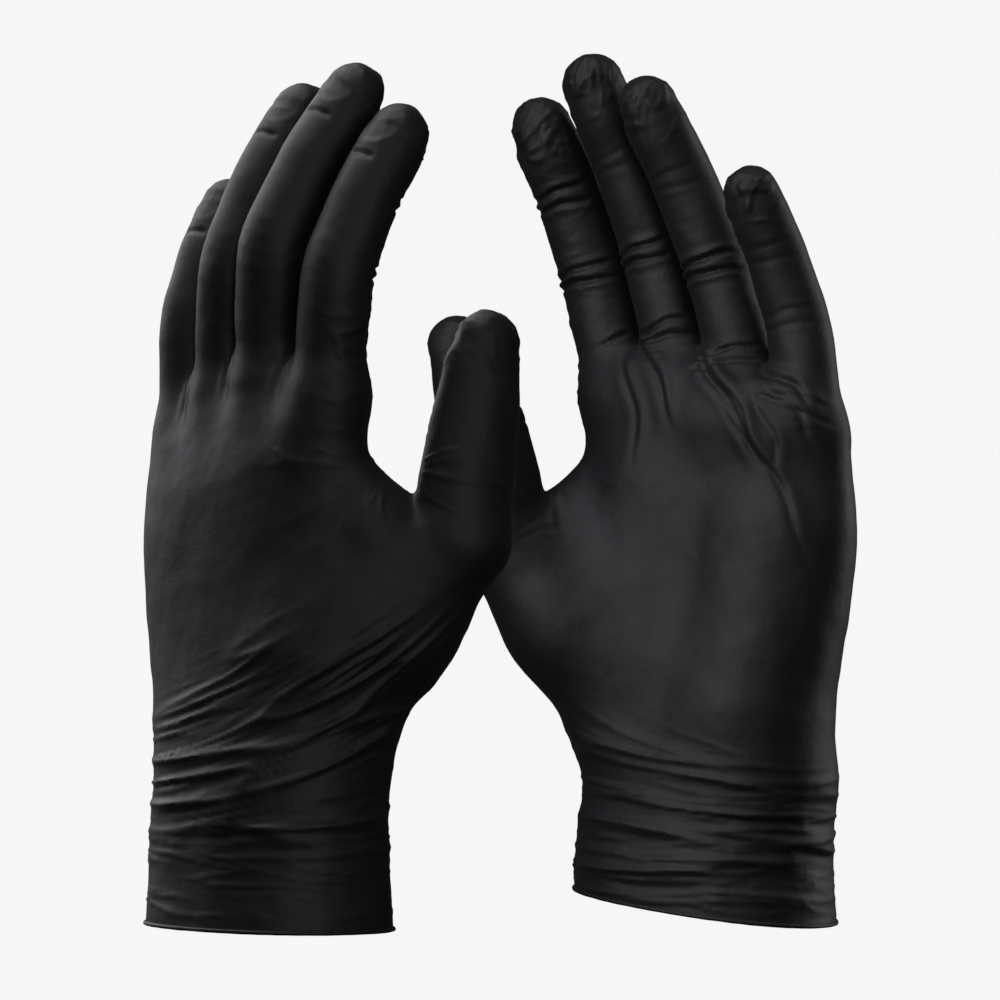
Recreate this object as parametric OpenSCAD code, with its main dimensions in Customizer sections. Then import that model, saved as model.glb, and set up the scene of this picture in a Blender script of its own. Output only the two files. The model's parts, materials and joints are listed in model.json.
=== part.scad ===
// A pair of disposable nitrile gloves, each holding the shape of a relaxed hand.
//
// A glove is one dipped film. Here it is cut into zones at the places where it bends, so that
// each zone is a thin open shell of its own. Between two zones is a V-shaped gap whose point
// lies on the joint's axis, and it closes when the joint is bent as far as it goes.
//
// Glove frame: origin at the centre of the cuff's mouth, +X towards the thumb, +Y out of the
// palm, +Z towards the fingertips. Both gloves are the same left-hand shape, and each is
// turned about the vertical to stand in the pair. Every hinge bends its zone towards +Y when
// it turns about the zone's own -X.

/* [Film] */
// Wall of the dipped film
film_t = 0.12; // [0.1:0.01:0.3]
// Gap between two zones on the axis of a joint
bend_gap = 0.8; // [0.4:0.1:1.5]
// Gap between the palm and a finger on the axis of the finger's first joint
knuckle_gap = 3; // [2:0.5:5]

/* [Cuff] */
// Height of the wrist's axis above the mouth
cuff_len = 45; // [35:1:60]
// Half width and half depth of the mouth
mouth = [38.5, 29.5]; // [20:0.5:50]
// Half width and half depth where the cuff is narrowest
waist = [37.5, 28]; // [20:0.5:50]
// Radius of the rolled bead round the mouth
bead_r = 0.7; // [0.5:0.1:1.5]

/* [Hand] */
// Half width and half depth at the knuckles
knuckles = [41.5, 16]; // [12:0.5:50]
// Height of the fingers' roots above the wrist at the middle finger
root_height = 115; // [100:1:125]
// Sideways place of each finger's root: index, middle, ring, little
root_x = [29, 8.6, -12.2, -34]; // [-40:0.5:40]
// How far each finger's root stands out towards the palm
root_y = [0, -1.5, -1.5, -1]; // [-6:0.5:8]

/* [Fingers] */
// Bones of the index finger, from root to tip
index_bones = [27, 23, 27]; // [15:1:35]
// Bones of the middle finger
middle_bones = [30, 27, 29]; // [15:1:35]
// Bones of the ring finger
ring_bones = [29, 26, 28]; // [15:1:35]
// Bones of the little finger
little_bones = [24, 20, 24]; // [15:1:35]
// Half width of each finger at its root: index, middle, ring, little
root_half = [9.7, 9.7, 9.6, 9.2]; // [7:0.1:12]
// Share of the root's width that is left at the tip
tip_taper = 0.84; // [0.6:0.01:1]
// Depth of a finger as a share of its width
depth_share = 0.92; // [0.8:0.01:1]

/* [Thumb] */
// Axis of the thumb's root, from the wrist's centre
thumb_root = [24, 16, 13]; // [0:1:40]
// Bones of the thumb, from root to tip
thumb_bones = [59, 31, 31]; // [20:1:60]
// Half width of the thumb at its knuckle, middle joint and tip
thumb_half = [13.6, 12.8, 10.6]; // [8:0.1:26]
// Bulge of the palm's film over the root of the thumb, where it is greatest
thumb_bulge = 29; // [15:1:35]
// Direction of that bulge, from sideways towards out of the palm
bulge_turn = 36; // [20:1:60]

/* [Left glove] */
// Turn about the vertical
left_turn = -50; // [-60:1:-30]
// Bend at rest of the fingers' roots, middle joints and end joints
left_bends = [1, 15, 9]; // [-10:1:20]
// Sideways lean of the fingers: index, middle, ring, little
left_leans = [7.5, 7.5, 7, 1]; // [-10:0.5:25]
// Thumb's lean to the side, lean out of the palm, twist, and bends of its two outer joints
left_thumb = [28, 9, 90, 24, 0]; // [-10:1:110]
// Rise of the mouth's edge towards the thumb
left_slant = -1; // [-5:0.5:12]

/* [Right glove] */
// Turn about the vertical
right_turn = 147; // [130:1:160]
// Bend at rest of the fingers' roots, middle joints and end joints
right_bends = [-2, 14, 8]; // [-10:1:20]
// Sideways lean of the fingers: index, middle, ring, little
right_leans = [15, 15, 15.5, 11.5]; // [-10:0.5:25]
// Thumb's lean to the side, lean out of the palm, twist, and bends of its two outer joints
right_thumb = [26, 9, 90, 16, -5]; // [-10:1:110]
// Rise of the mouth's edge towards the thumb
right_slant = 7.5; // [-5:0.5:12]
// Place of its mouth from the left glove's
right_place = [121, 32, 0]; // [-20:1:140]

/* [Travel from rest] */
// Wrist, sideways: away from the thumb and towards it
wrist_travel = [-20, 12]; // [-30:1:20]
// Fingers' roots: back and into the palm
root_travel = [-20, 62]; // [-25:1:75]
// Fingers' middle joints
middle_travel = [-10, 76]; // [-15:1:85]
// Turn of a finger's end joint for each degree of its middle joint
end_share = 0.6; // [0.4:0.05:0.8]
// Thumb's knuckle and end joint: out and in
thumb_travel = [-8, 32]; // [-10:1:50]

/* [Hidden] */
GLOVES = ["left", "right"];
FINGERS = ["index", "middle", "ring", "little"];
BONES = ["base", "mid", "tip"];

film_colour = [0.035, 0.035, 0.04];
bead_colour = [0.025, 0.025, 0.03];
finger_sides = 16;
hand_sides = 32;
bead_sides = 8;

turn = [left_turn, right_turn];
place = [[0, 0, 0], right_place];
bends = [left_bends, right_bends];
leans = [left_leans, right_leans];
thumbs = [left_thumb, right_thumb];
slants = [left_slant, right_slant];
finger_bones = [index_bones, middle_bones, ring_bones, little_bones];
finger_travel = [root_travel, middle_travel, end_share * middle_travel];

// Palm cross sections from the wrist up: height, centre x and y, half width and depth, and the
// share of the thumb's bulge.
palm_sections = [
    [0, 0, 0, waist[0], waist[1], 0.02],
    [12, -0.5, 0, 36.8, 25.5, 0.28],
    [24, -2, 0, 37, 23, 0.62],
    [36, -4, -0.5, 38.5, 21, 0.9],
    [47, -5.5, -1, 39.5, 19.5, 1],
    [58, -6.5, -1, 40.5, 18.5, 0.85],
    [68, -6.5, -1, 41, 18, 0.55],
    [78, -6, -1, 41.5, 17.5, 0.2],
    [98, -4.5, -1, knuckles[0], knuckles[1], 0],
    [root_height, -2, -1, knuckles[0], knuckles[1] - 2, 0],
];
// The finger roots lie on an arch, highest at the middle finger.
arch_drop = 0.0075;
// The thumb leaves the palm through a window between these sections and these sides.
window_sections = [3, 7];
window_sides = [-2, 8];
// The thumb's film starts on a seam that stands in from the window's edge by this share.
seam_share = 0.012;

// --- Numbers -------------------------------------------------------------------------------

function mix(a, b, t) = a + (b - a) * t;

// How far a zone's end draws back from the joint's axis at distance y from it, so that half
// of the bend between the limits is cleared.
function notch(y, limits) = y * tan((y > 0 ? limits[1] : limits[0]) / 2);

// Limits of a joint's bend measured from straight: its travel and its bend at rest.
function finger_limits(g, bone) = finger_travel[bone] + bends[g][bone] * [1, 1];
function thumb_limits(g, bone) = thumb_travel + thumbs[g][bone + 3] * [1, 1];

function root_z(x) = root_height - arch_drop * pow(x - root_x[1], 2);

// One cross section: flattened slightly when squareness is over 2.
function power(c, squareness) = sign(c) * pow(abs(c), 2 / squareness);
function section(c, half, squareness, sides) = [
    for (j = [0:sides - 1]) let (q = 360 * j / sides)
        [c[0] + half[0] * power(cos(q), squareness), c[1] + half[1] * power(sin(q), squareness)]
];

function finger_half(finger, along) =
    let (w = root_half[finger] * mix(1, tip_taper, along)) [w, w * depth_share];
function bone_start(finger, bone) =
    bone == 0 ? 0 : bone_start(finger, bone - 1) + finger_bones[finger][bone - 1];
function finger_share(finger, z) = z / bone_start(finger, 3);

// --- Film ----------------------------------------------------------------------------------

// A thin closed skin between an outer and an inner set of rings. The far end stays open, or
// closes on the two points of tip. A window leaves out rings k0 to k1 between sides j0 and j1.
module film(outer, inner, tip = [], window = [0, 0, 0, 0]) {
    rings = len(outer);
    sides = len(outer[0]);
    function at(layer, k, j) = (layer * rings + k) * sides + (j + sides) % sides;
    function quad(a, b, c, d) = [[a, b, c], [a, c, d]];
    function inside(k, j) = k >= window[0] && k < window[1]
        && (j - window[2] + sides) % sides < window[3] - window[2];
    walls = [
        for (k = [0:rings - 2]) for (j = [0:sides - 1]) if (!inside(k, j)) each concat(
            quad(at(0, k, j), at(0, k + 1, j), at(0, k + 1, j + 1), at(0, k, j + 1)),
            quad(at(1, k, j), at(1, k, j + 1), at(1, k + 1, j + 1), at(1, k + 1, j))
        )
    ];
    start_rim = [
        for (j = [0:sides - 1]) each quad(at(0, 0, j), at(0, 0, j + 1), at(1, 0, j + 1), at(1, 0, j))
    ];
    last = rings - 1;
    tip_at = 2 * rings * sides;
    end = len(tip) > 0
        ? [for (j = [0:sides - 1]) each [
            [at(0, last, j), tip_at, at(0, last, j + 1)],
            [at(1, last, j), at(1, last, j + 1), tip_at + 1]
        ]]
        : [for (j = [0:sides - 1]) each
            quad(at(0, last, j), at(1, last, j), at(1, last, j + 1), at(0, last, j + 1))];
    across = window[1] > window[0]
        ? [for (j = [window[2]:window[3] - 1]) each concat(
            quad(at(0, window[0], j), at(1, window[0], j),
                 at(1, window[0], j + 1), at(0, window[0], j + 1)),
            quad(at(0, window[1], j), at(0, window[1], j + 1),
                 at(1, window[1], j + 1), at(1, window[1], j))
        )]
        : [];
    along = window[1] > window[0]
        ? [for (k = [window[0]:window[1] - 1]) each concat(
            quad(at(0, k, window[2]), at(0, k + 1, window[2]),
                 at(1, k + 1, window[2]), at(1, k, window[2])),
            quad(at(0, k, window[3]), at(1, k, window[3]),
                 at(1, k + 1, window[3]), at(0, k + 1, window[3]))
        )]
        : [];
    points = concat([for (ring = outer) each ring], [for (ring = inner) each ring], tip);
    polyhedron(points, concat(walls, start_rim, end, across, along));
}

// Rings of a tube along +Z from one joint to the next, drawn back at both ends.
function tube_rings(length, starts, ends, limits, inset) = [
    for (t = [0, 0.33, 0.67, 1]) [
        for (p = section([0, 0], mix(starts, ends, t) - [inset, inset], 2, finger_sides))
            [p[0], p[1], mix(bend_gap / 2 + notch(p[1], limits[0]),
                             length - bend_gap / 2 - notch(p[1], limits[1]), t)]
    ]
];

module tube(length, starts, ends, limits) {
    film(tube_rings(length, starts, ends, limits, 0),
         tube_rings(length, starts, ends, limits, film_t));
}

// Rings of a fingertip: drawn back at its joint, closed by a dome over its last part.
function tip_rings(length, starts, ends, limits, inset) =
    let (dome = ends[0] * 1.2, neck = length - dome)
    concat(
        [for (t = [0, 0.5]) [
            for (p = section([0, 0], mix(starts, ends, t) - [inset, inset], 2, finger_sides))
                [p[0], p[1], mix(bend_gap / 2 + notch(p[1], limits), neck, t)]
        ]],
        [for (q = [0, 20, 38, 54, 70]) [
            for (p = section([0, 0], (ends - [inset, inset]) * cos(q), 2, finger_sides))
                [p[0], p[1], neck + (dome - inset) * sin(q)]
        ]]
    );

module fingertip(length, starts, ends, limits) {
    film(tip_rings(length, starts, ends, limits, 0),
         tip_rings(length, starts, ends, limits, film_t),
         [[0, 0, length], [0, 0, length - film_t]]);
}

// --- Frames --------------------------------------------------------------------------------

module glove_frame(g) {
    translate(place[g]) rotate([0, 0, turn[g]]) children();
}

module hand_frame(g) {
    glove_frame(g) translate([0, 0, cuff_len]) children();
}

module finger_frame(g, finger, bone) {
    if (bone == 0)
        hand_frame(g) translate([root_x[finger], root_y[finger], root_z(root_x[finger])])
            rotate([0, leans[g][finger], 0]) rotate([-bends[g][0], 0, 0]) children();
    else
        finger_frame(g, finger, bone - 1) translate([0, 0, finger_bones[finger][bone - 1]])
            rotate([-bends[g][bone], 0, 0]) children();
}

module thumb_frame(g, bone) {
    if (bone == 0)
        hand_frame(g) translate(thumb_root)
            rotate([0, thumbs[g][0], 0]) rotate([-thumbs[g][1], 0, 0]) rotate([0, 0, thumbs[g][2]])
                children();
    else
        thumb_frame(g, bone - 1) translate([0, 0, thumb_bones[bone - 1]])
            rotate([-thumbs[g][bone + 2], 0, 0]) children();
}

// The same step from the thumb's root frame to the hand frame, for one point.
function turned_x(v, q) = [v[0], v[1] * cos(q) - v[2] * sin(q), v[1] * sin(q) + v[2] * cos(q)];
function turned_y(v, q) = [v[0] * cos(q) + v[2] * sin(q), v[1], v[2] * cos(q) - v[0] * sin(q)];
function turned_z(v, q) = [v[0] * cos(q) - v[1] * sin(q), v[0] * sin(q) + v[1] * cos(q), v[2]];
function from_thumb(g, v) =
    thumb_root + turned_y(turned_x(turned_z(v, thumbs[g][2]), -thumbs[g][1]), thumbs[g][0]);

// --- Zones ---------------------------------------------------------------------------------

function mouth_z(g, x) = (mouth[0] + x) * tan(slants[g]) + max(0, -2 * mouth[0] * tan(slants[g]));

function cuff_rings(g, inset) = [
    for (t = [0, 0.1, 0.25, 0.5, 0.75, 1])
        let (half = mix(waist, mouth, pow(1 - t, 3)) - [inset, inset])
        [for (p = section([0, 0], half, 2, hand_sides))
            [p[0], p[1], mix(mouth_z(g, p[0]) + 2 * bead_r + film_t,
                             cuff_len - bend_gap / 2 - notch(p[0], wrist_travel), t)]]
];

module cuff(g) {
    color(film_colour) film(cuff_rings(g, 0), cuff_rings(g, film_t));
}

// The mouth's edge, rolled up on itself when the glove is stripped from its former.
module cuff_bead(g) {
    rings = [
        for (q = [0:360 / bead_sides:359]) [
            for (p = section([0, 0], mouth + bead_r * [cos(q), cos(q)], 2, hand_sides))
                [p[0], p[1], mouth_z(g, p[0]) + bead_r * (1 + sin(q))]
        ]
    ];
    function at(k, j) = (k % bead_sides) * hand_sides + j % hand_sides;
    color(bead_colour) polyhedron(
        [for (ring = rings) each ring],
        [for (k = [0:bead_sides - 1]) for (j = [0:hand_sides - 1]) each [
            [at(k, j), at(k + 1, j), at(k + 1, j + 1)],
            [at(k, j), at(k + 1, j + 1), at(k, j + 1)]
        ]]
    );
}

// One point of the palm's film: an ellipse that swells over the root of the thumb.
function palm_point(k, j, inset) =
    let (
        s = palm_sections[k],
        q = 360 * j / hand_sides,
        swell = thumb_bulge * s[5] * pow(max(0, cos(q - bulge_turn)), 2),
        x = s[1] + (s[3] - inset) * power(cos(q), 2.2) + swell * cos(bulge_turn),
        y = s[2] + (s[4] - inset) * power(sin(q), 2.2) + swell * sin(bulge_turn),
        low = bend_gap / 2 + notch(x, wrist_travel),
        high = root_z(x) - knuckle_gap / 2 - notch(y, root_travel)
    )
    [x, y, mix(low, high, s[0] / root_height)];

function palm_rings(inset) = [
    for (k = [0:len(palm_sections) - 1]) [for (j = [0:hand_sides - 1]) palm_point(k, j, inset)]
];

module palm() {
    color(film_colour)
        film(palm_rings(0), palm_rings(film_t), [], concat(window_sections, window_sides));
}

// The window's edge in the palm, once round from its lower back corner, and the turn about the
// thumb's own axis that faces each point of it.
function span(a, b) = a < b ? [for (i = [a:b - 1]) i] : [for (i = [a:-1:b + 1]) i];
window_edge =
    let (k = window_sections, j = window_sides) concat(
        [for (i = span(j[0], j[1])) palm_point(k[0], i, 0)],
        [for (i = span(k[0], k[1])) palm_point(i, j[1], 0)],
        [for (i = span(j[1], j[0])) palm_point(k[1], i, 0)],
        [for (i = span(k[1], k[0])) palm_point(i, j[0], 0)]
    );
window_turns =
    let (long = window_sides[1] - window_sides[0], tall = window_sections[1] - window_sections[0])
    concat(
        [for (i = [0:long - 1]) 225 + 90 * i / long],
        [for (i = [0:tall - 1]) 315 + 90 * i / tall],
        [for (i = [0:long - 1]) 45 + 90 * i / long],
        [for (i = [0:tall - 1]) 135 + 90 * i / tall]
    );
function centre(points) = points * [for (p = points) 1] / len(points);

function thumb_base_rings(g) =
    let (
        middle = [for (i = [0:2]) centre([for (p = window_edge) p[i]])],
        half = [1, depth_share] * thumb_half[0],
        knuckle = [for (q = window_turns)
            let (y = half[1] * sin(q))
            from_thumb(g, [half[0] * cos(q), y,
                           thumb_bones[0] - bend_gap / 2 - notch(y, thumb_limits(g, 0))])]
    )
    [for (t = [0, 0.3, 0.65, 1])
        [for (i = [0:len(window_edge) - 1])
            mix(mix(window_edge[i], middle, seam_share), knuckle[i], t)]];

// The same rings one film's thickness further in, square to the surface that they span.
function one_film_in(rings) =
    let (last = len(rings) - 1, sides = len(rings[0]))
    [for (k = [0:last]) [for (i = [0:sides - 1])
        let (
            round = rings[k][(i + 1) % sides] - rings[k][(i + sides - 1) % sides],
            up = rings[min(k + 1, last)][i] - rings[max(k - 1, 0)][i],
            out = cross(round, up)
        )
        rings[k][i] - out * film_t / norm(out)
    ]];

module thumb_base(g) {
    rings = thumb_base_rings(g);
    color(film_colour) film(rings, one_film_in(rings));
}

module finger_zone(g, finger, bone) {
    from = bone_start(finger, bone);
    length = finger_bones[finger][bone];
    starts = finger_half(finger, finger_share(finger, from));
    ends = finger_half(finger, finger_share(finger, from + length));
    foot = bone == 0 ? knuckle_gap / 2 : 0;
    color(film_colour) translate([0, 0, foot])
        if (bone == 2)
            fingertip(length, starts, ends, finger_limits(g, 2));
        else
            tube(length - foot, starts, ends, [finger_limits(g, bone), finger_limits(g, bone + 1)]);
}

module thumb_zone(g, bone) {
    starts = [1, depth_share] * thumb_half[bone - 1];
    ends = [1, depth_share] * thumb_half[bone];
    color(film_colour)
        if (bone == 2)
            fingertip(thumb_bones[2], starts, ends, thumb_limits(g, 1));
        else
            tube(thumb_bones[1], starts, ends, [thumb_limits(g, 0), thumb_limits(g, 1)]);
}

// --- Output --------------------------------------------------------------------------------

for (g = [0, 1]) {
    glove_frame(g) cuff_bead(g);
    glove_frame(g) cuff(g);
    hand_frame(g) palm();
    hand_frame(g) thumb_base(g);
    for (b = [1, 2])
        thumb_frame(g, b) thumb_zone(g, b);
    for (f = [0:3]) for (b = [0:2])
        finger_frame(g, f, b) finger_zone(g, f, b);
}
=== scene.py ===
import itertools
import json
import math

import bpy
import numpy as np
import openvdb
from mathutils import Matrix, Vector

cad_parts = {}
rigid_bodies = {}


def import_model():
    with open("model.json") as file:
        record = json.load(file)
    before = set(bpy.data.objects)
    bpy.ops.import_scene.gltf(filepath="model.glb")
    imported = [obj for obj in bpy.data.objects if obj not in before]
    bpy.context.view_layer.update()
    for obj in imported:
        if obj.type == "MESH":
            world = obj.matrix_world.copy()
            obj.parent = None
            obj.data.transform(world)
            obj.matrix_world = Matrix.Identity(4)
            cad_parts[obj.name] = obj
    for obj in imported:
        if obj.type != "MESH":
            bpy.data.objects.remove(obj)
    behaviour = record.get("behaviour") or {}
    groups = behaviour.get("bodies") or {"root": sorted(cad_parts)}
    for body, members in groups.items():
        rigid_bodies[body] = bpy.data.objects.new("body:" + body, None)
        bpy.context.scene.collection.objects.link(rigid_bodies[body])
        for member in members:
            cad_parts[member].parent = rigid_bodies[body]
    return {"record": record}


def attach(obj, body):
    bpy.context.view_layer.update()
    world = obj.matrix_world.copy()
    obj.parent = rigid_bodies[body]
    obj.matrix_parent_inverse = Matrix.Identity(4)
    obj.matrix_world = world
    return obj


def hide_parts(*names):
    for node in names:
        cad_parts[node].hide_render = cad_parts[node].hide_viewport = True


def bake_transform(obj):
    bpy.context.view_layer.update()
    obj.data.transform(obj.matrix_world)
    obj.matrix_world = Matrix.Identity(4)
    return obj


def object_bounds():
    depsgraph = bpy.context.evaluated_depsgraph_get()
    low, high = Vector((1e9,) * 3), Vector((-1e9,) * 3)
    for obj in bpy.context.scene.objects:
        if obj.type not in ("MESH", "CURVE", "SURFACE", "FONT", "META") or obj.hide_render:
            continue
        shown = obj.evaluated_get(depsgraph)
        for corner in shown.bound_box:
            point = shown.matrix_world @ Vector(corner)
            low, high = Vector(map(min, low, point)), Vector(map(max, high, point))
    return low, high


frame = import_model()
cad_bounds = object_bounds()

# === SHAPES ===
MM = 0.001
SIDES = ("left", "right")
FINGERS = ("index", "middle", "ring", "little")
FILM = 0.12
BEAD_RADIUS = 0.6
FINE_STEP = 0.75
WRIST_LOW = 26
WRIST_TOP = 66
THUMB_CUT = 10
CAMERA_DISTANCE = 2.6
VIEW_WIDTH = 0.278
VIEW_HEIGHT = 0.119

# Every shape below is worked out in a glove's own millimetres: origin at the centre of the
# mouth, x towards the thumb, y out of the palm, z towards the fingertips.
joints = {j["name"]: j for j in frame["record"]["behaviour"]["joints"]}

# Forearm and palm sections: height, centre x and y, half width, half depth.
SECTIONS = np.array([
    [-12, 0.0, 0.0, 38.9, 30.0],
    [0, 0.0, 0.0, 38.3, 29.4],
    [14, 0.0, 0.0, 37.6, 28.4],
    [30, 0.0, 0.0, 37.2, 27.6],
    [45, 0.0, 0.0, 37.2, 26.6],
    [57, -0.6, 0.0, 37.2, 25.0],
    [69, -2.0, 0.0, 37.6, 23.0],
    [81, -4.0, -0.5, 38.6, 21.0],
    [92, -5.4, -1.0, 39.4, 19.6],
    [103, -6.2, -1.0, 40.2, 18.6],
    [113, -6.2, -1.0, 40.8, 17.8],
    [123, -5.6, -1.0, 41.0, 17.0],
    [143, -4.2, -1.2, 39.6, 15.4],
    [152, -3.0, -1.4, 37.0, 14.2],
    [175, -1.5, -1.5, 33.0, 12.0],
])
ROOT_RADIUS = {"index": 10.5, "middle": 10.4, "ring": 10.0, "little": 9.3}
TIP_SHARE = 0.80
HEEL_SHARE = {"left": 0.62, "right": 0.84}
FINGER_FLAT = 0.93
# How the film carries each finger off the line of its joints: x, y and z at the root, at the
# first bend and at the tip.
SETTLE = {
    "left": {
        "index": ((-0.6, -1.5, 0), (0.6, -2.5, 0), (1.4, 0, -3.3)),
        "middle": ((-4.0, -2.0, 0), (-2.0, -6.0, 0), (1.6, 0, -3.4)),
        "ring": ((-3.0, -1.0, 0), (-1.0, -4.0, 0), (0, 0, -2.0)),
        "little": ((0, 0, 0), (0, 0, 0), (0, 0, -3.5)),
    },
    "right": {
        "index": ((0, 0, 0), (0.2, 0, 0), (1.0, 0, 2.2)),
        "middle": ((0, 0, 0), (1.0, 0, 0), (2.0, 0, 2.6)),
        "ring": ((0, 0, 0), (1.8, 0, 0), (5.4, 0, 2.2)),
        "little": ((0, 0, 0), (0, 0, 0), (2.0, 0, 0)),
    },
}


def glove_pose(side):
    """The glove's frame and its joints, taken from the record."""
    wrist = joints[side + "_wrist"]
    turn = math.atan2(-wrist["axis"][0], wrist["axis"][1])
    c, s = math.cos(turn), math.sin(turn)
    rot = np.array([[c, -s, 0], [s, c, 0], [0, 0, 1]])
    place = np.array([wrist["pos_m"][0], wrist["pos_m"][1], 0]) / MM
    pose = {"rot": rot, "place": place, "side": side}
    for finger in FINGERS + ("thumb",):
        names = ("middle", "end") if finger == "thumb" else ("root", "middle", "end")
        points = [np.array(joints[f"{side}_{finger}_{n}"]["pos_m"]) / MM for n in names]
        co = node_points(f"{side}_{finger}_tip")
        points.append(co[np.argmax(np.linalg.norm(co - points[-1], axis=1))])
        line = [(p - place) @ rot for p in points]
        if finger in FINGERS:
            base, bend, last = (np.array(shift, float) for shift in SETTLE[side][finger])
            line = [p + shift for p, shift in zip(line, (base, bend, (bend + last) / 2, last))]
        pose[finger] = line
        sign = -1 if finger == "thumb" else 1
        pose[finger + "_axis"] = sign * np.array(joints[f"{side}_{finger}_end"]["axis"]) @ rot
    return pose


def node_points(node):
    """Corners of a carried-over node, in row millimetres."""
    o = bpy.data.objects[node]
    co = np.empty(len(o.data.vertices) * 3)
    o.data.vertices.foreach_get("co", co)
    world = np.array(o.matrix_world)
    return (co.reshape(-1, 3) @ world[:3, :3].T + world[:3, 3]) / MM


def smooth_min(a, b, k):
    h = np.maximum(k - np.abs(a - b), 0) / k
    return np.minimum(a, b) - h * h * k * 0.25


class Field:
    """A distance field on a grid, built from blended solids."""

    def __init__(self, low, high, step):
        self.step = step
        self.low = np.array(low, float)
        self.n = np.ceil((np.array(high) - self.low) / step).astype(int)
        self.d = np.full(self.n, 30.0, np.float32)
        self.axes = [(self.low[i] + step * np.arange(self.n[i])).astype(np.float32) for i in range(3)]

    def window(self, low, high):
        i0 = np.clip(((np.array(low) - self.low) / self.step).astype(int), 0, self.n - 1)
        i1 = np.clip(((np.array(high) - self.low) / self.step).astype(int) + 2, 1, self.n)
        cut = tuple(slice(a, b) for a, b in zip(i0, i1))
        grids = np.meshgrid(*[self.axes[i][cut[i]] for i in range(3)], indexing="ij", sparse=True)
        return cut, grids

    def cone(self, a, b, ra, rb, k, flat=1.0, normal=(0, 1, 0)):
        a, b = np.array(a, float), np.array(b, float)
        pad = max(ra, rb) + 14
        cut, (x, y, z) = self.window(np.minimum(a, b) - pad, np.maximum(a, b) + pad)
        px, py, pz = x - a[0], y - a[1], z - a[2]
        ab = b - a
        t = np.clip((px * ab[0] + py * ab[1] + pz * ab[2]) / max(ab @ ab, 1e-9), 0, 1)
        qx, qy, qz = px - t * ab[0], py - t * ab[1], pz - t * ab[2]
        if flat != 1.0:
            m = np.array(normal, float)
            m /= np.linalg.norm(m)
            dot = (qx * m[0] + qy * m[1] + qz * m[2]) * (1 / flat - 1)
            qx, qy, qz = qx + dot * m[0], qy + dot * m[1], qz + dot * m[2]
        d = np.sqrt(qx * qx + qy * qy + qz * qz) - (ra + t * (rb - ra))
        self.d[cut] = smooth_min(self.d[cut], d.astype(np.float32), k)

    def body(self):
        x, y, z = np.meshgrid(*self.axes, indexing="ij", sparse=True)
        levels = self.axes[2]
        pad = 12
        fine = np.arange(levels[0] - pad, levels[-1] + pad, 1.0)
        kernel = np.exp(-0.5 * (np.arange(-9, 10) / 3.5) ** 2)
        kernel /= kernel.sum()
        s = []
        for col in range(1, 5):
            v = np.interp(fine, SECTIONS[:, 0], SECTIONS[:, col])
            v = np.convolve(np.pad(v, 9, mode="edge"), kernel, mode="valid")
            s.append(np.interp(levels, fine, v).astype(np.float32)[None, None, :])
        cx, cy, a, b = s
        dx, dy = x - cx, y - cy
        n = 2.2
        r = (np.abs(dx / a) ** n + np.abs(dy / b) ** n) ** (1 / n)
        rho = np.sqrt(dx * dx + dy * dy)
        d = rho * (1 - 1 / np.maximum(r, 1e-3))
        d = np.where(r < 0.35, -0.65 * np.minimum(a, b), d)
        arch = 158.5 - 0.0062 * (x - 10) ** 2 - 0.06 * np.minimum(y - 3, 0) ** 2
        cap = z - arch
        d = -smooth_min(-d, -cap, 9.0)
        self.d = smooth_min(self.d, d.astype(np.float32), 1.0)


def hand_field(pose, step):
    tips = np.array([pose[f][-1] for f in FINGERS + ("thumb",)])
    low = np.minimum(tips.min(0) - 16, [-52, -42, -10])
    high = np.maximum(tips.max(0) + 16, [74, 58, 0])
    f = Field(low, high, step)
    f.body()
    thumb = pose["thumb"]
    # Root of the thumb and the heel of the hand.
    f.cone([19, 8, 56], [34.5, 16, 84], 13, 15.8, 15)
    f.cone([34.5, 16, 84], thumb[0] + [0.9, 0.6, -0.8], 15.8, 13.6, 10)
    f.cone([-19, 6, 62], [-25, 3, 108], 16, 13, 14)
    # Web of the thumb, and the muscle behind it.
    f.cone([25, 0, 121], thumb[0] + [-6.5, -5, -20], 7, 8.5, 5)
    f.cone([29.3, 0.3, 129.8], [38, 10, 112.6], 7.2, 8.0, 3)
    f.cone([24, -1, 78], [37, 9, 106], 15, 12, 14)
    # Pads under the fingers, and the knuckles behind them.
    f.cone([23.5, 3.5, 147], [-28, 3.5, 139], 8.4, 8.6, 14)
    # The hollow of the palm, filled out by the film.
    f.cone([14, 8, 78], [14, 5, 122], 13.5, 11.5, 16)
    for name in FINGERS:
        root = pose[name][0]
        r = ROOT_RADIUS[name]
        behind = root + [-0.16 * root[0], -1.5, -24]
        f.cone(behind, root + [0, -1.2, -9], 8.0, r * 0.88, 8.0)
    fingers = []
    for name in FINGERS:
        one = Field(low, high, step)
        chain = finger_chain(pose, name)
        for (a, ra), (b, rb) in zip(chain[:-1], chain[1:]):
            one.cone(a, b, ra, rb, 0.4, FINGER_FLAT, np.cross(pose[name + "_axis"], b - a))
        fingers.append(one.d)
    # Fingers that touch press each other flat, with a gap that the mesh can still show.
    gap = 2.2 * step
    apart = []
    for i, d in enumerate(fingers):
        others = np.minimum.reduce([e for j, e in enumerate(fingers) if j != i])
        apart.append(-smooth_min(-d, -((d - others) / 2 + gap / 2), 1.5))
    f.d = smooth_min(f.d, np.minimum.reduce(apart), 6.0)
    one = Field(low, high, step)
    chain = finger_chain(pose, "thumb")
    for (a, ra), (b, rb) in zip(chain[:-1], chain[1:]):
        one.cone(a, b, ra, rb, 0.5, FINGER_FLAT, np.cross(pose["thumb_axis"], b - a))
    f.d = smooth_min(f.d, one.d, 2.0)
    return f


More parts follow.
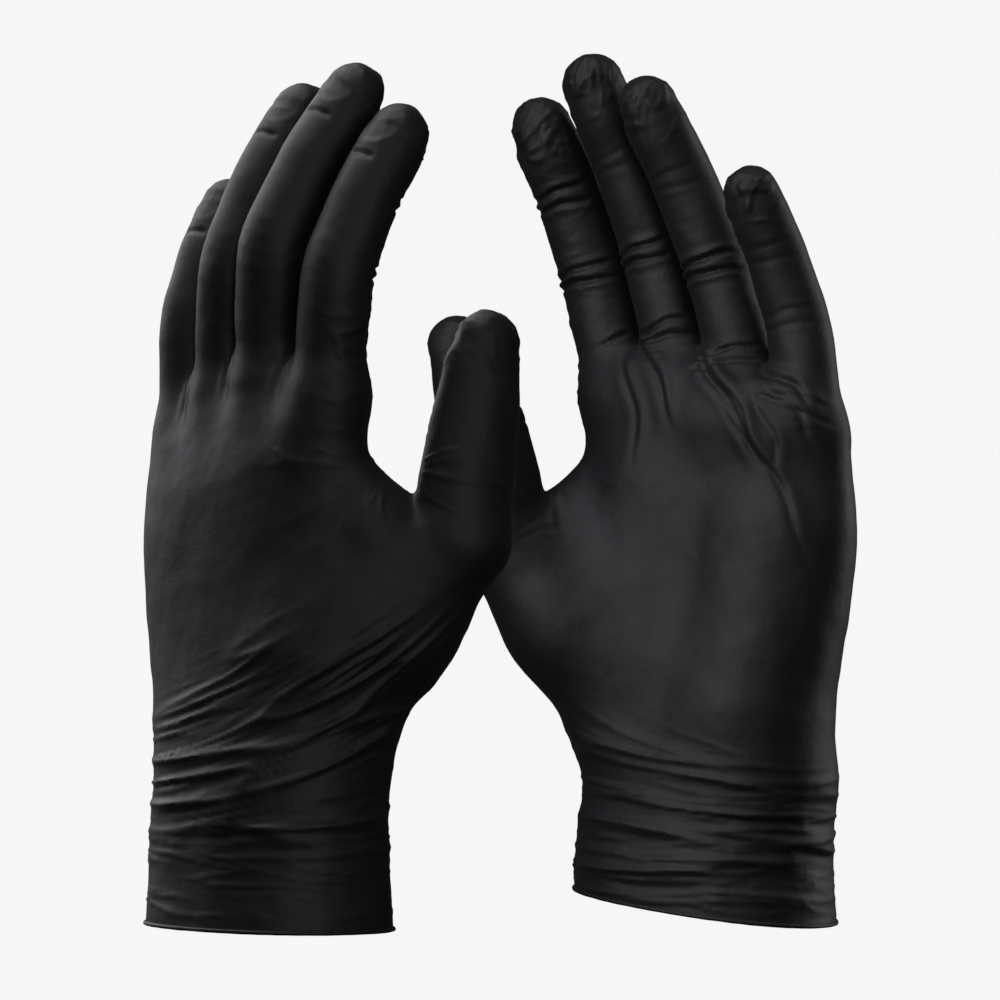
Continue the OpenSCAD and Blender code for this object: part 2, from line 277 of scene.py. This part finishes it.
def rounded(chain, rounds=2):
    """The chain with its corners cut, so that it bends smoothly."""
    line = np.array([[*centre, radius] for centre, radius in chain])
    for _ in range(rounds):
        near, far = line[:-1], line[1:]
        cut = np.stack([0.75 * near + 0.25 * far, 0.25 * near + 0.75 * far], 1).reshape(-1, 4)
        line = np.concatenate([line[:1], cut[1:-1], line[-1:]])
    return [(row[:3], row[3]) for row in line]


def finger_chain(pose, name):
    """Centres and radii down a finger, from its root to the centre of its tip."""
    axis = pose[name + "_axis"]
    if name == "thumb":
        knuckle, end, tip = pose[name]
        out = unit(np.cross(axis, tip - end))
        along = unit(tip - end)
        half = [13.8, 13.4, 12.3, 11.3, 10.3, 8.8]
        return rounded([
            (knuckle + [0.9, 0.6, -0.8], half[0]),
            (knuckle + 0.55 * (end - knuckle), half[1]),
            (end, half[2]),
            (end + 0.35 * (tip - end) + 0.3 * out, half[3] * 0.985),
            (tip - along * 15 + 0.5 * out, half[4] * 0.97),
            (tip - along * half[5], half[5]),
        ])
    root, middle, end, tip = pose[name]
    r = ROOT_RADIUS[name]
    out = unit(np.cross(axis, tip - end))
    along = unit(tip - end)
    return rounded([
        (root - 0.35 * (middle - root), r * HEEL_SHARE[pose["side"]]),
        (root, r * 0.92),
        (root + 0.5 * (middle - root), r * 0.985),
        (middle, r * 0.965),
        (middle + 0.5 * (end - middle), r * 0.94),
        (end, r * 0.9),
        (end + 0.42 * (tip - end) + 0.3 * out, r * 0.9),
        (tip - along * r * TIP_SHARE, r * TIP_SHARE),
    ])


def unit(v):
    return v / np.linalg.norm(v)


def smoothstep(a, b, x):
    t = np.clip((x - a) / (b - a), 0, 1)
    return t * t * (3 - 2 * t)


def bump(x, width):
    """A smooth hill of height 1 at zero."""
    return np.exp(-((x / width) ** 2))


def mesh_field(field, level=0.0):
    grid = openvdb.FloatGrid(30.0)
    grid.copyFromArray(np.ascontiguousarray(field.d))
    points, quads = grid.convertToQuads(level)
    return points * field.step + field.low, quads.astype(int)


def rim_plane(pose):
    """Height of the mouth's edge as a + b x, from the bead carried over from the CAD."""
    co = (node_points(pose["side"] + "_cuff_bead") - pose["place"]) @ pose["rot"]
    fit = np.linalg.lstsq(np.c_[np.ones(len(co)), co[:, 0]], co[:, 2], rcond=None)[0]
    return fit[0], fit[1]


def keep_faces(points, quads, keep):
    """The faces kept, with unused points dropped."""
    quads = quads[keep]
    used = np.unique(quads)
    index = np.full(len(points), -1)
    index[used] = np.arange(len(used))
    return points[used], index[quads]


def relax(points, quads, rounds, shrink=-0.52):
    """Even out the points along the surface with a light, volume-keeping smoothing."""
    pairs = np.concatenate([quads[:, [i, (i + 1) % 4]] for i in range(4)])
    pairs = np.unique(np.sort(pairs, axis=1), axis=0)
    count = np.bincount(pairs.ravel(), minlength=len(points))[:, None]
    for turn in range(2 * rounds):
        total = np.zeros_like(points)
        for i in range(3):
            total[:, i] = (np.bincount(pairs[:, 0], points[pairs[:, 1], i], len(points))
                           + np.bincount(pairs[:, 1], points[pairs[:, 0], i], len(points)))
        step = total / np.maximum(count, 1) - points
        points = points + step * (0.5 if turn % 2 == 0 else shrink)
    return points


def vertex_normals(points, quads):
    a, b, c, d = (points[quads[:, i]] for i in range(4))
    face = np.cross(c - a, d - b)
    total = np.zeros_like(points)
    for i in range(3):
        for k in range(4):
            total[:, i] += np.bincount(quads[:, k], face[:, i], len(points))
    return total / np.maximum(np.linalg.norm(total, axis=1), 1e-9)[:, None]


def noise(p, seed):
    """Smooth random values, about -1 to 1, that change over cells of unit size."""
    cell = np.floor(p).astype(np.int64)
    f = p - cell
    w = f * f * f * (f * (f * 6 - 15) + 10)
    total = np.zeros(len(p))
    for corner in itertools.product((0, 1), repeat=3):
        c = cell + corner
        h = (c[:, 0] * 73856093) ^ (c[:, 1] * 19349663) ^ (c[:, 2] * 83492791) ^ (seed * 26544357)
        h = ((h ^ (h >> 13)) * 1274126177) & 0x7FFFFFFF
        h = h ^ (h >> 11)
        turn = (h & 1023) / 1023 * 2 * np.pi
        lift = ((h >> 10) & 1023) / 1023 * 2 - 1
        flat = np.sqrt(1 - lift * lift)
        d = f - corner
        dot = d[:, 0] * flat * np.cos(turn) + d[:, 1] * flat * np.sin(turn) + d[:, 2] * lift
        share = np.ones(len(p))
        for i in range(3):
            share *= w[:, i] if corner[i] else 1 - w[:, i]
        total += share * dot
    return total * 1.7


def folds(across, along, depth, pitch, length, seed, sharp=1.8):
    """Long tapering ridges of height 0 to 1, about a pitch apart across and a length long along."""
    bend = 0.35 * noise(np.c_[across / (3 * pitch), along / length, depth / length], seed + 50)
    n = noise(np.c_[across / pitch + bend, along / length, depth / length], seed)
    ridge = np.clip(1 - np.abs(n) * 2.8, 0, 1) ** sharp
    fade = noise(np.c_[across / (2.2 * pitch), along / (0.8 * length), depth / length], seed + 90)
    return ridge * smoothstep(-0.5, 0.2, fade)


def finger_of(points, pose):
    """Nearest part of each point (0 to 3 index to little, 4 thumb, 5 the palm by the thumb), and
    how much nearer it is than the next."""
    chains = [(finger_chain(pose, name), pose[name + "_axis"]) for name in FINGERS + ("thumb",)]
    side = [(np.array([24.0, 0, 88]), 14.0), (pose["index"][0] - [0, 0, 6], 12.5)]
    chains.append((side, None))
    gaps = []
    for chain, flat in chains:
        best = np.full(len(points), 1e9)
        for (a, ra), (b, rb) in zip(chain[:-1], chain[1:]):
            ab = b - a
            t = np.clip(((points - a) @ ab) / (ab @ ab), 0, 1)
            q = points - a - t[:, None] * ab
            if flat is not None:
                m = unit(np.cross(flat, ab))
                q = q + (q @ m)[:, None] * m * (1 / FINGER_FLAT - 1)
            best = np.minimum(best, np.linalg.norm(q, axis=1) - (ra + t * (rb - ra)))
        gaps.append(best)
    order = np.sort(gaps, axis=0)
    return np.array(gaps).argmin(0), order[1] - order[0]


def film_surface(pose, step):
    """The outer face of the glove's film over the form of the hand, before its folds."""
    a, b = pose["rim"] = rim_plane(pose)
    points, quads = mesh_field(hand_field(pose, step), 0.15)
    above = points[:, 2] - (a + b * points[:, 0])
    points, quads = keep_faces(points, quads, (above[quads] > 0).any(1))
    points = relax(points, quads, 3)
    rim = a + b * points[:, 0]
    low = points[:, 2] < rim + 0.35 * step
    points[low, 2] = rim[low]
    return points, quads


# Slope of the wrist folds as seen from the front, against height: level at the cuff, and then
# rising towards the thumb.
FOLD_SLOPE = {
    "left": ([0, 22, 45, 70, 105], [0.0, 0.06, 0.32, 0.55, 0.75]),
    "right": ([0, 15, 45, 66, 95], [-0.17, -0.06, -0.12, -0.42, -0.6]),
}
# How strong the creases are at each finger's root and at its bends, and how far the first of
# them lies from the root and slants.
CREASES = {
    "index": (0.8, 1.0, 0.8),
    "middle": (0.8, 1.0, 0.15),
    "ring": (0.8, 1.0, 0.15),
    "little": (0.5, 0.2, 0.15),
    "thumb": (0.1, 0.3),
}
ROOT_FOLD = {"index": 2, "middle": 6, "ring": 2, "little": -1, "thumb": 0}
ROOT_TILT = {"index": -0.4, "middle": 0.0, "ring": 0.12, "little": 0.5, "thumb": 0.0}
# Creases in the palm's film: from a web between two fingers, by an offset in x and z.
PALM_CREASES = [
    (0, (0, 1), (-19, -26), 1.0),
    (0, (2, -4), (-9, -32), 0.6),
    (1, (-1, -3), (-27, -36), 1.1),
    (1, (-6, -8), (-20, -24), 0.8),
    (1, (-14, -18), (-27, -46), 0.6),
    (2, (1, -2), (-20, -13), 1.1),
    (2, (-2, -5), (-17, -19), 0.8),
    (2, (-1, -9), (-8, -24), 0.5),
]


def wrist_folds(p, row_x, side, edge):
    """Long slanting folds round the wrist, lower where the film is stretched over its edges."""
    z = p[:, 2]
    slope = np.interp(z, *FOLD_SLOPE[side])
    u = z - slope * row_x
    v = row_x + 0.4 * z
    if side == "left":
        top = np.minimum(64 + 0.75 * (row_x + 28), 86)
        zone = smoothstep(14, 34, z) * (1 - smoothstep(-12, 8, z - top))
    else:
        zone = smoothstep(3, 14, z) * (1 - smoothstep(-10, 6, z - 51 + 0.27 * row_x))
    seed = 11 + SIDES.index(side)
    zone *= 1 - 0.6 * edge
    h = 1.45 * folds(u, v, p[:, 1], 9.0, 80, seed)
    h += 1.0 * folds(u, v, p[:, 1], 5.0, 60, seed + 7)
    h += 0.4 * folds(u, v, p[:, 1], 3.0, 34, seed + 13)
    cuff = smoothstep(2, 6, z) * (1 - smoothstep(26, 44, z))
    fine = 0.35 * folds(z + 0.1 * row_x, v, p[:, 1], 3.2, 26, seed + 21)
    return h * zone + fine * cuff


def palm_folds(p, palm, pose):
    """Creases that run from the webs of the fingers down the palm."""
    h = np.zeros(len(p))
    roots = [pose[name][0] for name in FINGERS]
    for web, start, run, height in PALM_CREASES:
        middle = (roots[web] + roots[web + 1]) / 2
        a = middle[[0, 2]] + [0, 5] + start
        d = np.array(run, float)
        q = p[:, [0, 2]] - a
        t = (q @ d) / (d @ d)
        side = (q[:, 0] * d[1] - q[:, 1] * d[0]) / np.linalg.norm(d)
        side = side - 3.0 * np.sin(np.clip(t, 0, 1) * np.pi) + 0.6 * np.sin(t * 9)
        reach = smoothstep(-0.06, 0.12, t) * (1 - smoothstep(0.55, 1.1, t))
        line = bump(side - 2.0, 2.0) - 0.8 * bump(side, 0.9) + 0.4 * bump(side + 2.4, 2.2)
        h += height * line * reach
    return h * palm


def crease(s):
    """A sharp crease across a finger, with a soft ridge on either side of it."""
    return 0.55 * bump(s - 1.4, 1.1) - bump(s, 0.7) + 0.5 * bump(s + 1.4, 1.1)


def bend_creases(q, n, pose, name, seed):
    """Creases across the inner face where the finger leaves the palm and where it bends."""
    chain = pose[name]
    axis = unit(pose[name + "_axis"])
    out = np.zeros(len(q))
    for k, strength in enumerate(CREASES[name]):
        along = unit(chain[k + 1] - chain[k])
        if k > 0:
            along = unit(along + unit(chain[k] - chain[k - 1]))
        at = chain[k] + (ROOT_FOLD[name] * along if k == 0 else 0)
        face = n @ unit(np.cross(axis, along))
        across = (q - at) @ axis
        s = (q - at) @ along
        s = s + 0.8 * noise(np.c_[across / 8, s / 12, across * 0], seed + 3 * k) + 0.012 * across**2
        s = s + (ROOT_TILT[name] * across if k == 0 else 0)
        pair = crease(s - 1.9 - 0.06 * across) + crease(s + 1.9 + 0.07 * across)
        small = 0.5 * folds(s, across, q[:, 1], 3.4, 14, seed + k) * bump(s, 8)
        out += strength * smoothstep(0.15, 0.8, face) * (pair + small)
    return out


def finger_folds(p, normal, pose, which):
    """Creases across the fingers' inner faces, puckers at their tips, and the marks of nails."""
    h = np.zeros(len(p))
    for i, name in enumerate(FINGERS + ("thumb",)):
        mine = which == i
        q, n = p[mine], normal[mine]
        seed = 31 + 7 * i + 3 * SIDES.index(pose["side"])
        out = bend_creases(q, n, pose, name, seed) * (0.6 if pose["side"] == "left" else 1.0)
        axis = unit(pose[name + "_axis"])
        tip = pose[name][-1]
        along = unit(tip - pose[name][-2])
        to_tip = (tip - q) @ along
        across = (q - tip) @ axis
        face = n @ unit(np.cross(axis, along))
        pucker = folds(across + 0.3 * to_tip, to_tip, q[:, 1], 4.0, 8, seed + 15, 1.3)
        crumple = folds(to_tip, across, q[:, 1], 4.0, 9, seed + 17, 1.3)
        near = 1 - smoothstep(8, 24, to_tip)
        out += near * (0.55 * pucker + 0.6 * crumple) * (0.3 + 0.7 * smoothstep(-0.3, 0.4, face))
        radius = 8.0 if name == "thumb" else 6.6
        oval = np.sqrt((across / radius) ** 2 + ((to_tip - 1.25 * radius) / (1.15 * radius)) ** 2)
        back = smoothstep(0.1, 0.6, -face)
        out += back * (0.15 * bump(oval - 1, 0.14) - 0.1 * (1 - smoothstep(0.7, 1.0, oval)))
        tuck = bump(to_tip - 2.9 * radius, 0.8) * (1 - smoothstep(3.0, 5.0, np.abs(across)))
        out -= (0 if name == "thumb" else 0.8) * back * tuck
        h[mine] += out
    return h


def hand_folds(p, normal, row_x, pose, which, lead):
    """All the film's folds: how far it stands out from the hand's form, in millimetres."""
    palm = smoothstep(-0.1, 0.45, normal[:, 1])
    back = smoothstep(-0.1, 0.45, -normal[:, 1])
    edge = 1 - smoothstep(0.15, 0.6, np.abs(normal @ pose["rot"][1]))
    h = wrist_folds(p, row_x, pose["side"], edge)
    h += finger_folds(p, normal, pose, which) * smoothstep(0.3, 3.0, lead)
    body = (which == 5) | (p[:, 2] < 165)
    h += np.where(body, palm_folds(p, palm, pose), 0)
    # Small creases at the side of the index finger, and folds that spread from the thumb's web.
    root = pose["index"][0]
    beside = smoothstep(2, 12, p[:, 0] - root[0]) * bump(p[:, 2] - root[2] + 1, 17)
    beside = np.where(which == 4, 0, beside)
    h += 0.55 * beside * folds(p[:, 2] + 0.6 * p[:, 0], p[:, 0], p[:, 1], 5.0, 18, 61)
    web = pose["thumb"][0] * 0.62 + root * 0.38
    reach = np.linalg.norm((p - web)[:, [0, 2]], axis=1)
    angle = np.arctan2(p[:, 2] - web[2], p[:, 0] - web[0]) * 16
    spread = smoothstep(4, 9, reach) * (1 - smoothstep(14, 30, reach))
    h += 0.5 * spread * folds(angle, reach, p[:, 1], 5.5, 40, 67) * (p[:, 2] < web[2] + 6)
    # Tucks between the knuckles.
    for a, b in zip(FINGERS[:-1], FINGERS[1:]):
        notch = (pose[a][0] + pose[b][0]) / 2
        across = p[:, 0] - notch[0]
        down = notch[2] - 2 - p[:, 2]
        line = 0.8 * bump(across - 2.1, 1.0) - 0.5 * bump(across - 0.4, 0.8) + 0.5 * bump(across + 2, 1)
        h += back * line * smoothstep(-8, -1, down) * (1 - smoothstep(2, 11, down))
    soft = 0.22 * noise(p / 11, 71) + 0.07 * noise(p / 4.5, 73)
    return h + soft


def loosen(points, quads, pose):
    """The surface with its folds, and a small sideways shift of the film about 41 mm above the mouth."""
    side = pose["side"]
    z = points[:, 2]
    points = points.copy()
    points[:, 0] += (-2.4 if side == "right" else 0.5) * bump(z - 41, 11)
    which, lead = finger_of(points, pose)
    normal = vertex_normals(relax(points, quads, 2), quads)
    row_x = points @ pose["rot"][0]
    h = hand_folds(points, normal, row_x, pose, which, lead)
    a, b = pose["rim"]
    above = points[:, 2] - (a + b * points[:, 0])
    h *= smoothstep(0, 2.5, above)
    return points + normal * h[:, None]


# === PIECES ===
def to_row(points, pose):
    return (points @ pose["rot"].T + pose["place"]) * MM


def make_mesh(name, points, quads, loop_normals=None):
    mesh = bpy.data.meshes.new(name)
    mesh.vertices.add(len(points))
    mesh.vertices.foreach_set("co", np.asarray(points, np.float32).ravel())
    mesh.loops.add(quads.size)
    mesh.loops.foreach_set("vertex_index", np.asarray(quads, np.int32).ravel())
    mesh.polygons.add(len(quads))
    mesh.polygons.foreach_set("loop_start", np.arange(0, quads.size, 4, dtype=np.int32))
    mesh.polygons.foreach_set("loop_total", np.full(len(quads), 4, np.int32))
    mesh.polygons.foreach_set("use_smooth", np.ones(len(quads), bool))
    mesh.update(calc_edges=True)
    if loop_normals is not None:
        mesh.normals_split_custom_set(loop_normals.tolist())
    piece = bpy.data.objects.new(name, mesh)
    bpy.context.scene.collection.objects.link(piece)
    return piece


def film_piece(name, skin, faces):
    """One zone of the film as a closed shell: its outer face, its inner face and its edges."""
    points, quads, normals = skin
    quads = quads[faces]
    edges = np.concatenate([quads[:, [i, (i + 1) % 4]] for i in range(4)])
    key = edges.min(1) * len(points) + edges.max(1)
    _, first, count = np.unique(key, return_index=True, return_counts=True)
    rim = edges[first[count == 1]]
    used = np.unique(quads)
    index = np.full(len(points), -1)
    index[used] = np.arange(len(used))
    n = len(used)
    outer = index[quads]
    edge = index[rim]
    wall = np.c_[edge[:, 1], edge[:, 0], edge[:, 0] + n, edge[:, 1] + n]
    co = points[used]
    nn = normals[used]
    both = np.concatenate([co, co - nn * FILM * MM])
    every = np.concatenate([outer, outer[:, ::-1] + n, wall])
    corners = both[wall]
    flat = np.cross(corners[:, 1] - corners[:, 0], corners[:, 3] - corners[:, 0])
    flat /= np.maximum(np.linalg.norm(flat, axis=1), 1e-12)[:, None]
    loops = np.concatenate([nn[outer.ravel()], -nn[outer[:, ::-1].ravel()], np.repeat(flat, 4, axis=0)])
    return make_mesh(name, both, every, loops)


def bead_piece(name, skin, pose):
    """The bead at the mouth, where the film is rolled up on itself."""
    points, quads, normals = skin
    edges = np.concatenate([quads[:, [i, (i + 1) % 4]] for i in range(4)])
    key = edges.min(1) * len(points) + edges.max(1)
    _, first, count = np.unique(key, return_index=True, return_counts=True)
    after = dict(edges[first[count == 1]].tolist())
    start = min(after)
    loop = [start]
    while after[loop[-1]] != start:
        loop.append(after[loop[-1]])
    path = points[loop] / MM
    for _ in range(6):
        path = 0.5 * path + 0.25 * (np.roll(path, 1, axis=0) + np.roll(path, -1, axis=0))
    ahead = np.roll(path, -1, axis=0) - np.roll(path, 1, axis=0)
    ahead /= np.linalg.norm(ahead, axis=1)[:, None]
    up = np.array([0.0, 0, 1])
    side = np.cross(ahead, up)
    side /= np.linalg.norm(side, axis=1)[:, None]
    side *= np.sign((side * normals[loop]).sum(1).mean())
    sides = 12
    turns = 2 * np.pi * np.arange(sides) / sides
    along = np.arange(len(path)) / 9.0
    thick = BEAD_RADIUS * (1 + 0.13 * noise(np.c_[along, along * 0, along * 0 + 3], 5))
    rings = []
    for turn in turns:
        lap = 1 - 0.14 * np.exp(-(((turn - 2.4) / 0.35) ** 2))
        r = (thick * lap)[:, None]
        rings.append(path + r * (side * (math.cos(turn) + 0.1) + up * math.sin(turn)))
    co = np.array(rings).transpose(1, 0, 2).reshape(-1, 3) * MM
    i = np.arange(len(path))[:, None]
    j = np.arange(sides)[None, :]
    i2, j2 = (i + 1) % len(path), (j + 1) % sides
    quads = np.stack([i * sides + j, i2 * sides + j, i2 * sides + j2, i * sides + j2], -1).reshape(-1, 4)
    middle = co[quads].mean(1) / MM
    out = middle - np.repeat(path, sides, axis=0)
    a, b, c = (co[quads[:, k]] for k in range(3))
    if (np.cross(b - a, c - a) * out).sum() < 0:
        quads = quads[:, ::-1]
    return make_mesh(name, co, quads)


def zones(centres, pose, which):
    """The zone of each face, as a name."""
    zone = np.full(len(centres), "palm", dtype="U16")
    z = centres[:, 2]
    zone[z < WRIST_TOP] = "wrist"
    zone[z < WRIST_LOW] = "cuff"
    for i, name in enumerate(FINGERS):
        root, middle, end, tip = pose[name]
        s1 = (centres - root) @ unit(middle - root) / np.linalg.norm(middle - root)
        s2 = (centres - middle) @ unit(end - middle) / np.linalg.norm(end - middle)
        mine = (which == i) & (s1 > 0.3)
        zone[mine] = name + "_root"
        zone[mine & (s1 > 0.77)] = name + "_middle"
        zone[mine & (s1 > 0.77) & (s2 > 0.5)] = name + "_end"
    knuckle, end, tip = pose["thumb"]
    s = (centres - knuckle) @ unit(end - knuckle)
    mine = (which == 4) & (s > THUMB_CUT)
    zone[mine] = "thumb_middle"
    zone[mine & (s > THUMB_CUT + 14)] = "thumb_end"
    return zone


def add_piece(piece, side, nodes, finish):
    piece.data.materials.append(finish)
    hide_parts(*[f"{side}_{n}" for n in nodes])


def bend_piece(piece):
    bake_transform(piece)


def build_glove(side, film, bead):
    pose = glove_pose(side)
    points, quads = film_surface(pose, FINE_STEP)
    centres = points[quads].mean(1)
    which, _ = finger_of(centres, pose)
    zone = zones(centres, pose, which)
    points = loosen(points, quads, pose)
    row = to_row(points, pose)
    skin = (row, quads, vertex_normals(row, quads))

    def zone_piece(name, nodes):
        piece = film_piece(f"{side}_glove_{name}", skin, zone == name)
        add_piece(piece, side, nodes, film)
        return piece

    rolled = bead_piece(f"{side}_glove_bead", skin, pose)
    add_piece(rolled, side, ["cuff_bead"], bead)
    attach(rolled, side + "_cuff")
    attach(zone_piece("cuff", ["cuff"]), side + "_cuff")
    wrist = zone_piece("wrist", [])
    bend_piece(wrist)
    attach(zone_piece("palm", ["palm", "thumb_base"]), side + "_palm")
    for name in FINGERS:
        piece = zone_piece(name + "_root", [name + "_base"])
        bend_piece(piece)
        piece = zone_piece(name + "_middle", [name + "_mid"])
        bend_piece(piece)
        piece = zone_piece(name + "_end", [name + "_tip"])
        bend_piece(piece)
    piece = zone_piece("thumb_middle", ["thumb_mid"])
    bend_piece(piece)
    piece = zone_piece("thumb_end", ["thumb_tip"])
    bend_piece(piece)


# === FINISHES ===
class Nodes:
    """Adds shader nodes to a material in few words."""

    def __init__(self, name):
        self.material = bpy.data.materials.new(name)
        self.material.use_nodes = True
        self.tree = self.material.node_tree
        self.tree.nodes.clear()

    def add(self, kind, **inputs):
        node = self.tree.nodes.new(kind)
        for key, value in inputs.items():
            socket = node.inputs[key.replace("_", " ")]
            if isinstance(value, bpy.types.NodeSocket):
                self.tree.links.new(value, socket)
            else:
                socket.default_value = value
        return node

    def noise(self, place, scale, detail=3.0, rough=0.5):
        return self.add("ShaderNodeTexNoise", Vector=place, Scale=scale, Detail=detail,
                        Roughness=rough).outputs["Fac"]

    def ramp(self, value, low, high):
        node = self.add("ShaderNodeMapRange", Value=value)
        node.inputs["To Min"].default_value = low
        node.inputs["To Max"].default_value = high
        return node.outputs["Result"]


def nitrile(name, tone, rough_low, rough_high, grain):
    """Black dipped nitrile: satin, with patches of more and less gloss and a fine skin."""
    n = Nodes(name)
    place = n.add("ShaderNodeTexCoord").outputs["Object"]
    cloudy = n.noise(place, 38, 4)
    patches = n.noise(place, 140, 3)
    skin = n.noise(place, 1500, 2, 0.6)
    crinkle = n.noise(place, 420, 4, 0.62)
    mix = n.add("ShaderNodeMix", Factor=cloudy)
    mix.data_type = "RGBA"
    mix.inputs[6].default_value = (*[0.8 * t for t in tone], 1)
    mix.inputs[7].default_value = (*[1.25 * t for t in tone], 1)
    rough = n.ramp(patches, rough_low, rough_high)
    fine = n.add("ShaderNodeBump", Height=skin, Strength=0.10 * grain, Distance=0.0002)
    coarse = n.add("ShaderNodeBump", Height=crinkle, Strength=0.16 * grain, Distance=0.0006,
                   Normal=fine.outputs["Normal"])
    shade = n.add("ShaderNodeBsdfPrincipled", Base_Color=mix.outputs[2], Roughness=rough,
                  Normal=coarse.outputs["Normal"])
    shade.inputs["IOR"].default_value = 1.52
    shade.inputs["Specular IOR Level"].default_value = 0.5
    shade.inputs["Sheen Weight"].default_value = 0.05
    shade.inputs["Sheen Roughness"].default_value = 0.4
    n.add("ShaderNodeOutputMaterial", Surface=shade.outputs["BSDF"])
    return n.material


def paper(name, tone, glow):
    """A pale matt sweep that glows for the camera, lights little else, and is clear from behind."""
    n = Nodes(name)
    seen = n.add("ShaderNodeLightPath").outputs["Is Camera Ray"]
    behind = n.add("ShaderNodeNewGeometry").outputs["Backfacing"]
    shade = n.add("ShaderNodeBsdfPrincipled", Base_Color=(0.1, 0.1, 0.1, 1), Roughness=0.9)
    shade.inputs["Emission Color"].default_value = (*tone, 1)
    shade.inputs["Emission Strength"].default_value = glow
    dim = n.add("ShaderNodeBsdfDiffuse", Color=(0.10, 0.10, 0.105, 1))
    mix = n.add("ShaderNodeMixShader", Fac=seen)
    n.tree.links.new(dim.outputs["BSDF"], mix.inputs[1])
    n.tree.links.new(shade.outputs["BSDF"], mix.inputs[2])
    clear = n.add("ShaderNodeMixShader", Fac=behind)
    n.tree.links.new(mix.outputs["Shader"], clear.inputs[1])
    n.tree.links.new(n.add("ShaderNodeBsdfTransparent").outputs["BSDF"], clear.inputs[2])
    n.add("ShaderNodeOutputMaterial", Surface=clear.outputs["Shader"])
    return n.material


# === STAGE ===
def sweep(material):
    """A floor that curves up into a backdrop."""
    front, back, rise, radius, half = -3.2, 1.4, 3.0, 0.8, 4.0
    path = [(front, 0.0), (back - radius, 0.0)]
    for step in range(1, 17):
        turn = math.radians(90 * step / 16)
        path.append((back - radius + radius * math.sin(turn), radius - radius * math.cos(turn)))
    path.append((back, rise))
    co = np.array([(x, y, z) for y, z in path for x in (-half, half)])
    i = np.arange(len(path) - 1) * 2
    quads = np.stack([i, i + 1, i + 3, i + 2], -1)
    floor = make_mesh("floor_sweep", co, quads)
    floor.data.materials.append(material)


def softbox(name, place, target, size, power, lit):
    """A lamp that lights one glove, and is shaded by that glove alone."""
    light = bpy.data.lights.new(name, "AREA")
    light.shape = "RECTANGLE"
    light.size, light.size_y = size
    light.energy = power
    light.color = (0.97, 0.955, 1.0)
    o = bpy.data.objects.new(name, light)
    o.location = place
    o.rotation_euler = (Vector(target) - Vector(place)).to_track_quat("-Z", "Y").to_euler()
    bpy.context.scene.collection.objects.link(o)
    o.light_linking.receiver_collection = lit
    o.light_linking.blocker_collection = lit


def glove_group(side):
    """The pieces of one glove, as a collection for its lamps."""
    group = bpy.data.collections.new(side + "_glove_lit")
    for piece in bpy.data.objects:
        if piece.name.startswith(side + "_glove_"):
            group.objects.link(piece)
    return group


def look(middle):
    """The lamps, the surroundings and the camera, level with the gloves and far off."""
    x, y, z = middle
    left, right = (glove_group(side) for side in SIDES)
    softbox("left_side_light", (x - 1.1, y + 1.1, z + 0.9), middle, (1.6, 1.6), 17, left)
    softbox("left_top_light", (x - 0.6, y + 0.1, z + 1.5), middle, (1.6, 1.2), 12, left)
    softbox("left_front_light", (x + 0.3, y - 1.4, z + 0.1), middle, (1.4, 1.4), 3.6, left)
    softbox("right_palm_light", (x - 1.0, y - 1.1, z + 0.6), middle, (1.6, 1.6), 13, right)
    softbox("right_top_light", (x - 0.1, y - 0.3, z + 1.4), middle, (1.2, 0.8), 4, right)
    softbox("right_side_light", (x + 1.3, y + 0.6, z + 0.3), middle, (0.6, 1.2), 5, right)
    world = bpy.data.worlds.new("studio")
    world.use_nodes = True
    tree = world.node_tree
    sky = tree.nodes["Background"]
    sky.inputs["Color"].default_value = (0.99, 0.99, 1.0, 1)
    strength = tree.nodes.new("ShaderNodeMapRange")
    strength.inputs["To Min"].default_value = 0.075
    strength.inputs["To Max"].default_value = 0.92
    tree.links.new(tree.nodes.new("ShaderNodeLightPath").outputs["Is Camera Ray"], strength.inputs["Value"])
    tree.links.new(strength.outputs["Result"], sky.inputs["Strength"])
    bpy.context.scene.world = world
    bpy.context.scene.view_settings.view_transform = "Standard"
    camera = bpy.data.cameras.new("camera")
    camera.lens = camera.sensor_width * CAMERA_DISTANCE / VIEW_WIDTH
    o = bpy.data.objects.new("camera", camera)
    o.location = (x, y - CAMERA_DISTANCE, z)
    o.rotation_euler = (math.radians(90), 0, 0)
    bpy.context.scene.collection.objects.link(o)
    bpy.context.scene.camera = o


film = nitrile("black_nitrile_film", (0.0112, 0.0113, 0.0132), 0.5, 0.62, 1.0)
bead = nitrile("black_nitrile_bead", (0.011, 0.011, 0.012), 0.46, 0.6, 1.4)
for glove_side in SIDES:
    build_glove(glove_side, film, bead)
sweep(paper("pale_paper", (0.93, 0.93, 0.93), 0.985))
low, high = (np.array(corner) for corner in cad_bounds)
look(((low[0] + high[0]) / 2, (low[1] + high[1]) / 2, VIEW_HEIGHT))
